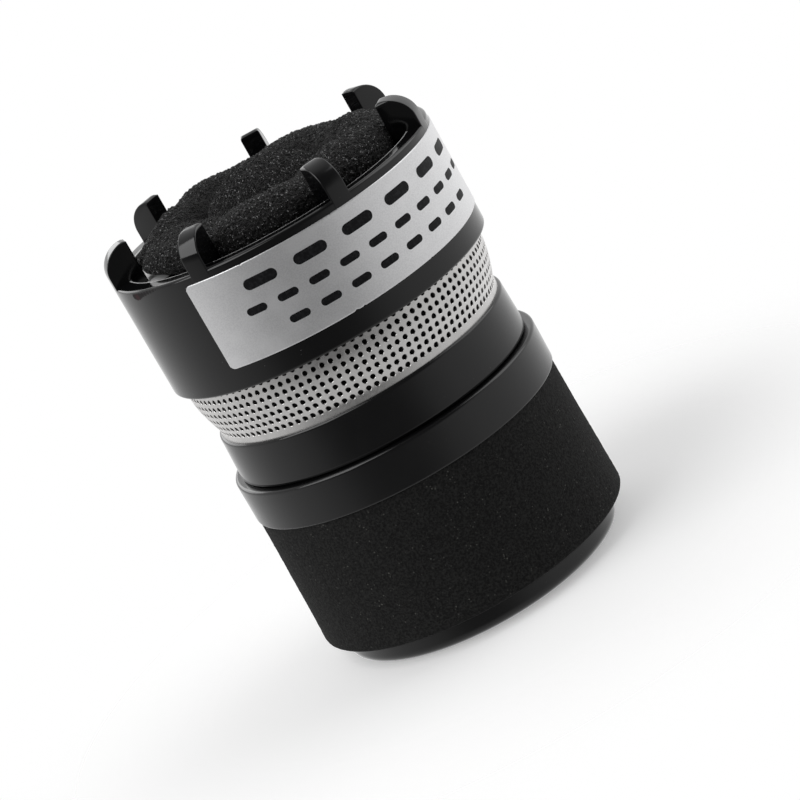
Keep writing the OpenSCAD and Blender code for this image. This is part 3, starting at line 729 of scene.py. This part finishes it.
# Rows of plain dashes on the label: level of the row above the label's lower edge, height and length of
# a dash, gap between dashes, number of dashes
DASH_ROWS = ((7.3, 1.15, 3.6, 1.9, 6), (4.75, 0.8, 2.2, 1.25, 10), (2.35, 0.8, 2.2, 1.25, 8))


def label_marks():
    """Rows of plain round-ended dashes where the label carries its print."""
    points, faces = [], []
    for level, height, length, gap, count in DASH_ROWS:
        for k in range(count):
            middle = math.degrees((length + gap) * (k - (count - 1) / 2) / LABEL_R)
            curved_dash(middle, length, LABEL_Z + level, height, points, faces)
    marks = mesh_object("label_marks", points, faces, INK)
    finish_piece(marks, "foil")


def screen_radius(z):
    """Radius of the screen's outer face at a level."""
    low, high = SCREEN_Z + SCREEN_STRIP, SKIRT_Z - SCREEN_STRIP
    share = min(1, max(0, (z - low) / (high - low)))
    return SCREEN_R + (SCREEN_TOP_R - SCREEN_R) * math.sin(math.pi / 2 * share)


# Sixteen places round a cell of the screen, from its right side on, as shares of the cell
CELL_EDGE = [(0.5, 0), (0.5, 0.25), (0.5, 0.5), (0.25, 0.5)]
for _ in range(3):
    CELL_EDGE += [(-v, u) for u, v in CELL_EDGE[-4:]]


def port_screen():
    """Perforated screen as one sheet: a grid of cells, each with a round punched hole."""
    step, lip, quarters = 360 / HOLE_COUNT, 0.04, 4
    cell = ((None, 0), (HOLE_R + lip, 0), (HOLE_R, lip), (HOLE_R, SCREEN_T), (None, SCREEN_T))
    points, faces = [], []

    def put(angle, z, depth):
        """Adds a point at a depth in the sheet and gives its number."""
        points.append(around(screen_radius(z) - depth, angle, z))
        return len(points) - 1

    def ring(i, z, radius, depth):
        """Points round a hole, or round its whole cell where no radius is given."""
        if radius is None:
            return [put(HOLE_TURN + (i + u) * step, z + v * HOLE_PITCH, depth) for u, v in CELL_EDGE]
        wide = math.degrees(1 / screen_radius(z))
        turns = [2 * math.pi * k / len(CELL_EDGE) for k in range(len(CELL_EDGE))]
        return [
            put(HOLE_TURN + i * step + radius * math.cos(a) * wide, z + radius * math.sin(a), depth)
            for a in turns
        ]

    def belt(low, high):
        """Closes the stretch between two circles, each given by its level and its depth in the sheet."""
        for k in range(quarters * HOLE_COUNT):
            a, b = HOLE_TURN + k * step / quarters, HOLE_TURN + (k + 1) * step / quarters
            faces.append((put(a, *low), put(b, *low), put(b, *high), put(a, *high)))

    for row in range(HOLE_ROWS):
        for i in range(HOLE_COUNT):
            rings = [ring(i, SCREEN_Z + HOLE_FIRST + row * HOLE_PITCH, *place) for place in cell]
            for first, second in zip(rings, rings[1:]):
                n = len(first)
                faces.extend((first[k], first[(k + 1) % n], second[(k + 1) % n], second[k]) for k in range(n))
    first_z = SCREEN_Z + HOLE_FIRST - HOLE_PITCH / 2
    last_z = first_z + HOLE_ROWS * HOLE_PITCH
    for levels in (np.linspace(SCREEN_Z, first_z, 3), np.linspace(last_z, SCREEN_TOP_Z, 5)):
        for depth in (0, SCREEN_T):
            for low, high in zip(levels, levels[1:]):
                belt((low, depth), (high, depth))
    for z in (SCREEN_Z, SCREEN_TOP_Z):
        belt((z, 0), (z, SCREEN_T))
    screen = mesh_object("screen", points, faces, LOOKS["screen_steel"], sharp_angle=30)
    finish_piece(screen, "screen_steel", "port_screen")


def sector(inner, outer, low, high, middle, wide):
    """A block of a ring, used as a cutter."""
    steps = 12
    angles = [middle - wide / 2 + wide * k / steps for k in range(steps + 1)]
    outline = [(inner, low), (outer, low), (outer, high), (inner, high)]
    return mesh_object("cutter", *lathe_grid(outline, angles, False), LOOKS["housing_plastic"])


def motor_housing():
    """Housing in one moulding: spigot, band, ported neck, motor bore and slotted web."""
    past_wall, past_web = 0.3, 0.1
    flare = SCREEN_TOP_Z + STACK_R - NECK_R
    outside = [
        (SPIGOT_IN_R, SPIGOT_Z, 0), (SPIGOT_R, SPIGOT_Z, 0), (SPIGOT_R, BAND_Z, 0), (BAND_R, BAND_Z, 0.4),
        (BAND_TOP_R, SCREEN_Z, 0.3), (NECK_R, SCREEN_Z, 0), (NECK_R, SCREEN_TOP_Z, 0), (STACK_R, flare, 0),
        (STACK_R, SEAT_Z, 0)]
    inside = [
        (MOTOR_BORE_R, SEAT_Z, 0), (MOTOR_BORE_R, PLATE_Z, 0),
        (NECK_IN_R, PLATE_Z - (NECK_IN_R - MOTOR_BORE_R), 0), (NECK_IN_R, YOKE_Z, 0),
        (WEB_BORE_R, YOKE_Z, 0), (WEB_BORE_R, WEB_Z, 0), (SPIGOT_IN_R, WEB_Z, 0)]
    housing = lathe("housing", fillet(outside + inside), LOOKS["housing_plastic"])
    port_z = SCREEN_Z + SCREEN_STRIP
    port = (NECK_IN_R - past_wall, NECK_R + past_wall, port_z, port_z + PORT_H)
    slot = (SLOT_R, NECK_IN_R, WEB_Z - past_web, YOKE_Z + past_web)
    cutters = [sector(*port, 90 + (i + 0.5) * 360 / PORT_COUNT, PORT_SPAN) for i in range(PORT_COUNT)]
    cutters += [sector(*slot, 90 + i * 360 / SLOT_COUNT, SLOT_SPAN) for i in range(SLOT_COUNT)]
    combine(housing, cutters, "DIFFERENCE")
    finish_piece(housing, "housing_plastic", "motor_housing")


def lower_collar():
    """The wider ring below the band."""
    inner = SPIGOT_R + FIT_GAP
    outline = fillet([
        (inner, COLLAR_Z, 0), (COLLAR_R, COLLAR_Z, 0.2), (COLLAR_R, BAND_Z, 0.3), (inner, BAND_Z, 0)])
    collar = lathe("collar", outline, LOOKS["collar_plastic"])
    finish_piece(collar, "collar_plastic", "lower_collar")


def rear_cup():
    """Closed cup with its rounded lower edge and terminal recess, drilled for the two leads."""
    boss_z, boss_r = RECESS_H + BOSS_WALL, RECESS_R + BOSS_WALL
    outline = fillet([
        (0, RECESS_H, 0), (RECESS_R, RECESS_H, 0.1), (RECESS_R, 0, 0.15), (CUP_R, 0, 0.9),
        (CUP_R, CUP_TOP_Z, 0.1), (CUP_IN_R, CUP_TOP_Z, 0.1), (CUP_IN_R, CUP_FLOOR, 0.2),
        (boss_r, CUP_FLOOR, 0.1), (boss_r, boss_z, 0.1), (0, boss_z, 0)])
    cup = lathe("cup", outline, LOOKS["cup_plastic"])
    past, drill_sides = 0.5, 24
    low, high = RECESS_H - past, boss_z + past
    drill = [(0, low), (LEAD_HOLE_R, low), (LEAD_HOLE_R, high), (0, high)]
    drills = []
    for side in (-1, 1):
        cutter = lathe("cutter", drill, LOOKS["cup_plastic"], drill_sides)
        cutter.data.transform(Matrix.Translation((side * TERMINAL_X * MM, 0, 0)))
        drills.append(cutter)
    combine(cup, drills, "DIFFERENCE")
    finish_piece(cup, "cup_plastic", "rear_cup")


def foam_noise(point, size, seed):
    """Noise from -1 to 1 at a point, with grains of about a size."""
    return noise.noise(Vector(point) / size + Vector((seed, 0, 0)))


def grains(point, table):
    """Noises of a table together, at a point."""
    return sum(depth * foam_noise(point, size, seed) for depth, size, seed in table)


def foam_sleeve():
    """Sleeve with a pored face, which widens a little towards its lower edge."""
    segments, rows, bend, steps, shrink = 520, 72, 0.35, 5, 0.04
    flare_power, edge_share = 1.5, 0.5
    inner, clear = CUP_R + FIT_GAP, 0.05
    rise = COLLAR_Z - SLEEVE_Z - bend
    outline = [(inner, COLLAR_Z), (inner, SLEEVE_Z)]
    outline += [
        (SLEEVE_R - bend + bend * math.sin(a), SLEEVE_Z + bend - bend * math.cos(a)) for a in quarter(steps)]
    outline += [(SLEEVE_R, SLEEVE_Z + bend + rise * k / rows) for k in range(1, rows + 1)]
    points, faces = lathe_grid(outline, [360 * i / segments for i in range(segments)], True)
    shaped = []
    for p in points:
        r = math.hypot(p[0], p[1])
        if r > inner + clear:
            swell = grains(p, SLEEVE_GRAINS)
            share = (COLLAR_Z - p[2]) / (COLLAR_Z - SLEEVE_Z)
            grow = 1 + (swell - shrink + SLEEVE_FLARE * share ** flare_power) / r
            p = (p[0] * grow, p[1] * grow, p[2] + edge_share * swell * (p[2] < SLEEVE_Z + bend))
        shaped.append(p)
    sleeve = mesh_object("sleeve", shaped, faces, LOOKS["sleeve_foam"], sharp_angle=80)
    finish_piece(sleeve, "sleeve_foam", "foam_sleeve")


def claw_pinch(angle):
    """1 where a claw holds the foam down, falling to 0 between the claws."""
    pitch = 360 / CLAW_COUNT
    off = (angle - CLAW_TURN + pitch / 2) % pitch - pitch / 2
    return math.exp(-(off / FOAM_PINCH_SPAN) ** 2)


def lobe(angle, middle, wide):
    """1 at an angle, falling to 0 over a width on both sides."""
    off = (angle - middle + 180) % 360 - 180
    return math.exp(-(off / wide) ** 2)


def foam_ridge(angle):
    """Height of the ridge's crest above the deck, lower under the claws and uneven round the disc."""
    sway = sum(depth * math.sin(math.radians(angle * count + shift)) for depth, count, shift in FOAM_SWAY)
    sunk = sum(depth * lobe(angle, turn, wide) for turn, wide, depth in FOAM_DIPS)
    return FOAM_RIDGE_H + sway - sunk - FOAM_PINCH * claw_pinch(angle)


def foam_height(r, angle, edge_r):
    """Height of the foam's face above the deck: dome, sharp crease, then the outer ridge."""
    ridge = foam_ridge(angle)
    if r < FOAM_CREASE_R:
        return FOAM_CREASE_H + (FOAM_DOME_H - FOAM_CREASE_H) * (1 - (r / FOAM_CREASE_R) ** 2) ** 0.5
    if r < FOAM_CREST_R:
        share = (FOAM_CREST_R - r) / (FOAM_CREST_R - FOAM_CREASE_R)
        return FOAM_CREASE_H + (ridge - FOAM_CREASE_H) * max(0, 1 - share ** 2) ** 0.5
    share = (r - FOAM_CREST_R) / (edge_r - FOAM_CREST_R)
    full = math.sqrt(max(0, 1 - share ** 2))
    slack = FOAM_SLACK * lobe(angle, FOAM_SLACK_TURN, FOAM_SLACK_SPAN)
    return FOAM_EDGE_H + (ridge - FOAM_EDGE_H) * (full + (1 - share - full) * slack)


def foam_edge(angle):
    """Radius of the foam's edge, which bulges between the claws."""
    return FOAM_R + FOAM_BULGE - FOAM_DRAW * claw_pinch(angle)


def foam_column(angle):
    """Section of the foam from its middle over the face, down its side and under to its plug."""
    dome_rows, ridge_rows, edge_rows, side_rows, seat, least_tuck = 44, 36, 34, 20, 0.05, 0.5
    tuck = least_tuck + FOAM_TUCK * lobe(angle, FOAM_TUCK_TURN, FOAM_TUCK_SPAN)
    edge_r = foam_edge(angle)
    ridge_in, ridge_out = FOAM_CREST_R - FOAM_CREASE_R, edge_r - FOAM_CREST_R
    radii = [FOAM_CREASE_R * math.sin(a) for a in quarter(dome_rows, last=False)]
    radii += [FOAM_CREST_R - ridge_in * math.cos(a) for a in quarter(ridge_rows, last=False)]
    radii += [FOAM_CREST_R + ridge_out * math.sin(a) for a in quarter(edge_rows)]
    column = [(r, DECK_Z + foam_height(r, angle, edge_r)) for r in radii]
    for k in range(1, side_rows + 1):
        share = k / side_rows
        column.append((edge_r - tuck * share ** 2, DECK_Z + FOAM_EDGE_H + (seat - FOAM_EDGE_H) * share))
    plug_r = DECK_IN_R - PLUG_GAP
    return column + [(plug_r, DECK_Z + seat), (plug_r, FLANGE_Z), (0, FLANGE_Z)]


def roughen_foam(point):
    """Moves a point of the foam's face by its cells and lumps, upwards on top and outwards at the side."""
    cell, strand_h, pore_h, strand_slope = 0.4, 0.2, 0.08, 2.2
    side_reach, side_share, least_r = 4, 0.7, 0.001
    near = noise.voronoi(Vector(point) / cell)[0]
    strand = 1 - min(1, strand_slope * (near[1] - near[0]))
    rough = strand_h * strand - pore_h + grains(point, FOAM_GRAINS)
    r = max(least_r, math.hypot(point[0], point[1]))
    side = min(1, max(0, (r - FOAM_CREST_R) / side_reach))
    grow = 1 + rough * side / r
    return (point[0] * grow, point[1] * grow, point[2] + rough * (1 - side_share * side))


def front_foam():
    """Foam disc under the claws, with open cells that break up its face but not its plug."""
    segments, plug_points = 640, 3
    columns = [foam_column(360 * i / segments) for i in range(segments)]
    n = len(columns[0])
    points = [around(r, 360 * i / segments, z) for i, column in enumerate(columns) for r, z in column]
    points = [roughen_foam(p) if i % n < n - plug_points else p for i, p in enumerate(points)]
    faces = skin(n, segments, ring=True, loop=False)
    foam = mesh_object("foam", points, faces, LOOKS["front_foam"], sharp_angle=80)
    finish_piece(foam, "front_foam", "front_foam")


# Floor: its radius, how far it lies below the capsule, where it fades away, its grey and its own glow
FLOOR_R, FLOOR_DROP, FLOOR_FADE, FLOOR_GREY, FLOOR_GLOW = 300, 0.02, (26, 62), 0.8, 0.3


def floor_look():
    """Pale grey with a glow that only the camera sees, fading away with the distance from the middle."""
    look = bpy.data.materials.new("floor")
    look.use_nodes = True
    nodes, links = look.node_tree.nodes, look.node_tree.links
    nodes.clear()
    place = nodes.new("ShaderNodeTexCoord")
    length = nodes.new("ShaderNodeVectorMath")
    length.operation = "LENGTH"
    fade = nodes.new("ShaderNodeMapRange")
    fade.interpolation_type = "SMOOTHSTEP"
    fade.inputs["From Min"].default_value = FLOOR_FADE[0] * MM
    fade.inputs["From Max"].default_value = FLOOR_FADE[1] * MM
    rays = nodes.new("ShaderNodeLightPath")
    diffuse = nodes.new("ShaderNodeBsdfDiffuse")
    diffuse.inputs["Color"].default_value = (FLOOR_GREY, FLOOR_GREY, FLOOR_GREY, 1)
    glow = nodes.new("ShaderNodeEmission")
    seen = nodes.new("ShaderNodeMath")
    seen.operation = "MULTIPLY"
    seen.inputs[1].default_value = FLOOR_GLOW
    add = nodes.new("ShaderNodeAddShader")
    clear = nodes.new("ShaderNodeBsdfTransparent")
    blend = nodes.new("ShaderNodeMixShader")
    out = nodes.new("ShaderNodeOutputMaterial")
    links.new(place.outputs["Object"], length.inputs[0])
    links.new(length.outputs["Value"], fade.inputs["Value"])
    links.new(rays.outputs["Is Camera Ray"], seen.inputs[0])
    links.new(seen.outputs[0], glow.inputs["Strength"])
    links.new(diffuse.outputs[0], add.inputs[0])
    links.new(glow.outputs[0], add.inputs[1])
    links.new(fade.outputs["Result"], blend.inputs[0])
    links.new(add.outputs[0], blend.inputs[1])
    links.new(clear.outputs[0], blend.inputs[2])
    links.new(blend.outputs[0], out.inputs["Surface"])
    return look


def build_floor():
    """Pale floor that keeps the shadow and fades into the white background."""
    rings, segments = 24, 96
    radii = [FLOOR_R * k / rings for k in range(rings + 1)]
    points = [around(r, 360 * i / segments, -FLOOR_DROP) for i in range(segments) for r in radii]
    faces = skin(len(radii), segments, ring=True, loop=False)
    floor = mesh_object("floor", points, faces, floor_look())
    floor.visible_glossy = False


# World as the object sees it: bright all round, dark in front and above, where the photographer stands
DARK_AZIMUTH, DARK_ELEVATION = VIEW_TURN - 14, 35
# How bright it is, by the cosine of the angle from the darkest direction
WORLD_LEVELS = (
    (-0.95, 0.95), (-0.6, 0.76), (-0.1, 0.63), (0.2, 0.55), (0.42, 0.4), (0.56, 0.2), (0.66, 0.11))


def direction(azimuth, elevation):
    """Unit vector towards an azimuth, counted from -Y towards +X, and an elevation."""
    turn, rise = math.radians(azimuth), math.radians(elevation)
    return Vector((math.cos(rise) * math.sin(turn), -math.cos(rise) * math.cos(turn), math.sin(rise)))


def build_world():
    """Soft studio round the object, and plain white behind it for the camera."""
    world = bpy.data.worlds.new("studio")
    bpy.context.scene.world = world
    world.use_nodes = True
    nodes, links = world.node_tree.nodes, world.node_tree.links
    nodes.clear()
    place = nodes.new("ShaderNodeTexCoord")
    dot = nodes.new("ShaderNodeVectorMath")
    dot.operation = "DOT_PRODUCT"
    dot.inputs[1].default_value = direction(DARK_AZIMUTH, DARK_ELEVATION)
    share = nodes.new("ShaderNodeMapRange")
    share.inputs["From Min"].default_value = -1
    level = nodes.new("ShaderNodeValToRGB")
    stops = level.color_ramp.elements
    stops.remove(stops[1])
    stops[0].position = (WORLD_LEVELS[0][0] + 1) / 2
    for cosine, _ in WORLD_LEVELS[1:]:
        stops.new((cosine + 1) / 2)
    for stop, (_, bright) in zip(stops, WORLD_LEVELS):
        stop.color = (bright, bright, bright, 1)
    rays = nodes.new("ShaderNodeLightPath")
    choose = nodes.new("ShaderNodeMix")
    choose.inputs[3].default_value = 1
    back = nodes.new("ShaderNodeBackground")
    back.inputs["Color"].default_value = (1, 1, 1, 1)
    out = nodes.new("ShaderNodeOutputWorld")
    links.new(place.outputs["Generated"], dot.inputs[0])
    links.new(dot.outputs["Value"], share.inputs["Value"])
    links.new(share.outputs["Result"], level.inputs["Fac"])
    links.new(rays.outputs["Is Camera Ray"], choose.inputs[0])
    links.new(level.outputs["Color"], choose.inputs[2])
    links.new(choose.outputs[0], back.inputs["Strength"])
    links.new(back.outputs[0], out.inputs["Surface"])


# Lamps: name, azimuth from the camera's, elevation, width and height in metres, brightness
LAMPS = (
    ("key", -64, 46, 0.5, 0.6, 1.9),
    ("fill", 100, 36, 0.5, 0.6, 0.9),
    ("backlight", 206, 20, 0.42, 0.22, 1.0))
# Their distance in metres, the point that they are aimed at, and the watts of each square metre
LAMP_DISTANCE, LAMP_AIM, LAMP_WATTS = 0.6, Vector((0, 0, 25 * MM)), 4


def softbox(name, azimuth, elevation, width, height, brightness):
    """Soft lamp aimed at the capsule."""
    data = bpy.data.lights.new(name, "AREA")
    data.shape = "RECTANGLE"
    data.size, data.size_y = width, height
    data.energy = LAMP_WATTS * width * height * brightness
    way = direction(azimuth + VIEW_TURN, elevation)
    lamp = link(bpy.data.objects.new(name, data))
    turn = way.to_track_quat("Z", "Y").to_matrix().to_4x4()
    lamp.matrix_world = Matrix.Translation(LAMP_AIM + way * LAMP_DISTANCE) @ turn
    lamp.visible_camera = False


def build_camera():
    """Camera at the photograph's viewing angle."""
    tilt, roll = math.radians(CAMERA_TILT), math.radians(CAMERA_ROLL)
    back = Vector((0, -math.cos(tilt), math.sin(tilt)))
    right = Vector((1, 0, 0))
    up = back.cross(right)
    across = math.cos(roll) * right + math.sin(roll) * up
    upward = -math.sin(roll) * right + math.cos(roll) * up
    place = Matrix((across, upward, back)).transposed().to_4x4()
    place.translation = CAMERA_AT * MM
    data = bpy.data.cameras.new("camera")
    data.lens = CAMERA_LENS
    data.clip_start = 0.01
    camera = link(bpy.data.objects.new("camera", data))
    camera.matrix_world = Matrix.Rotation(math.radians(VIEW_TURN), 4, "Z") @ place
    bpy.context.scene.camera = camera


dress_cad_nodes()
front_cap()
foil_label()
label_marks()
port_screen()
motor_housing()
lower_collar()
rear_cup()
foam_sleeve()
front_foam()
build_floor()
build_world()
build_camera()
for lamp in LAMPS:
    softbox(*lamp)
bpy.context.scene.view_settings.view_transform = "Standard"
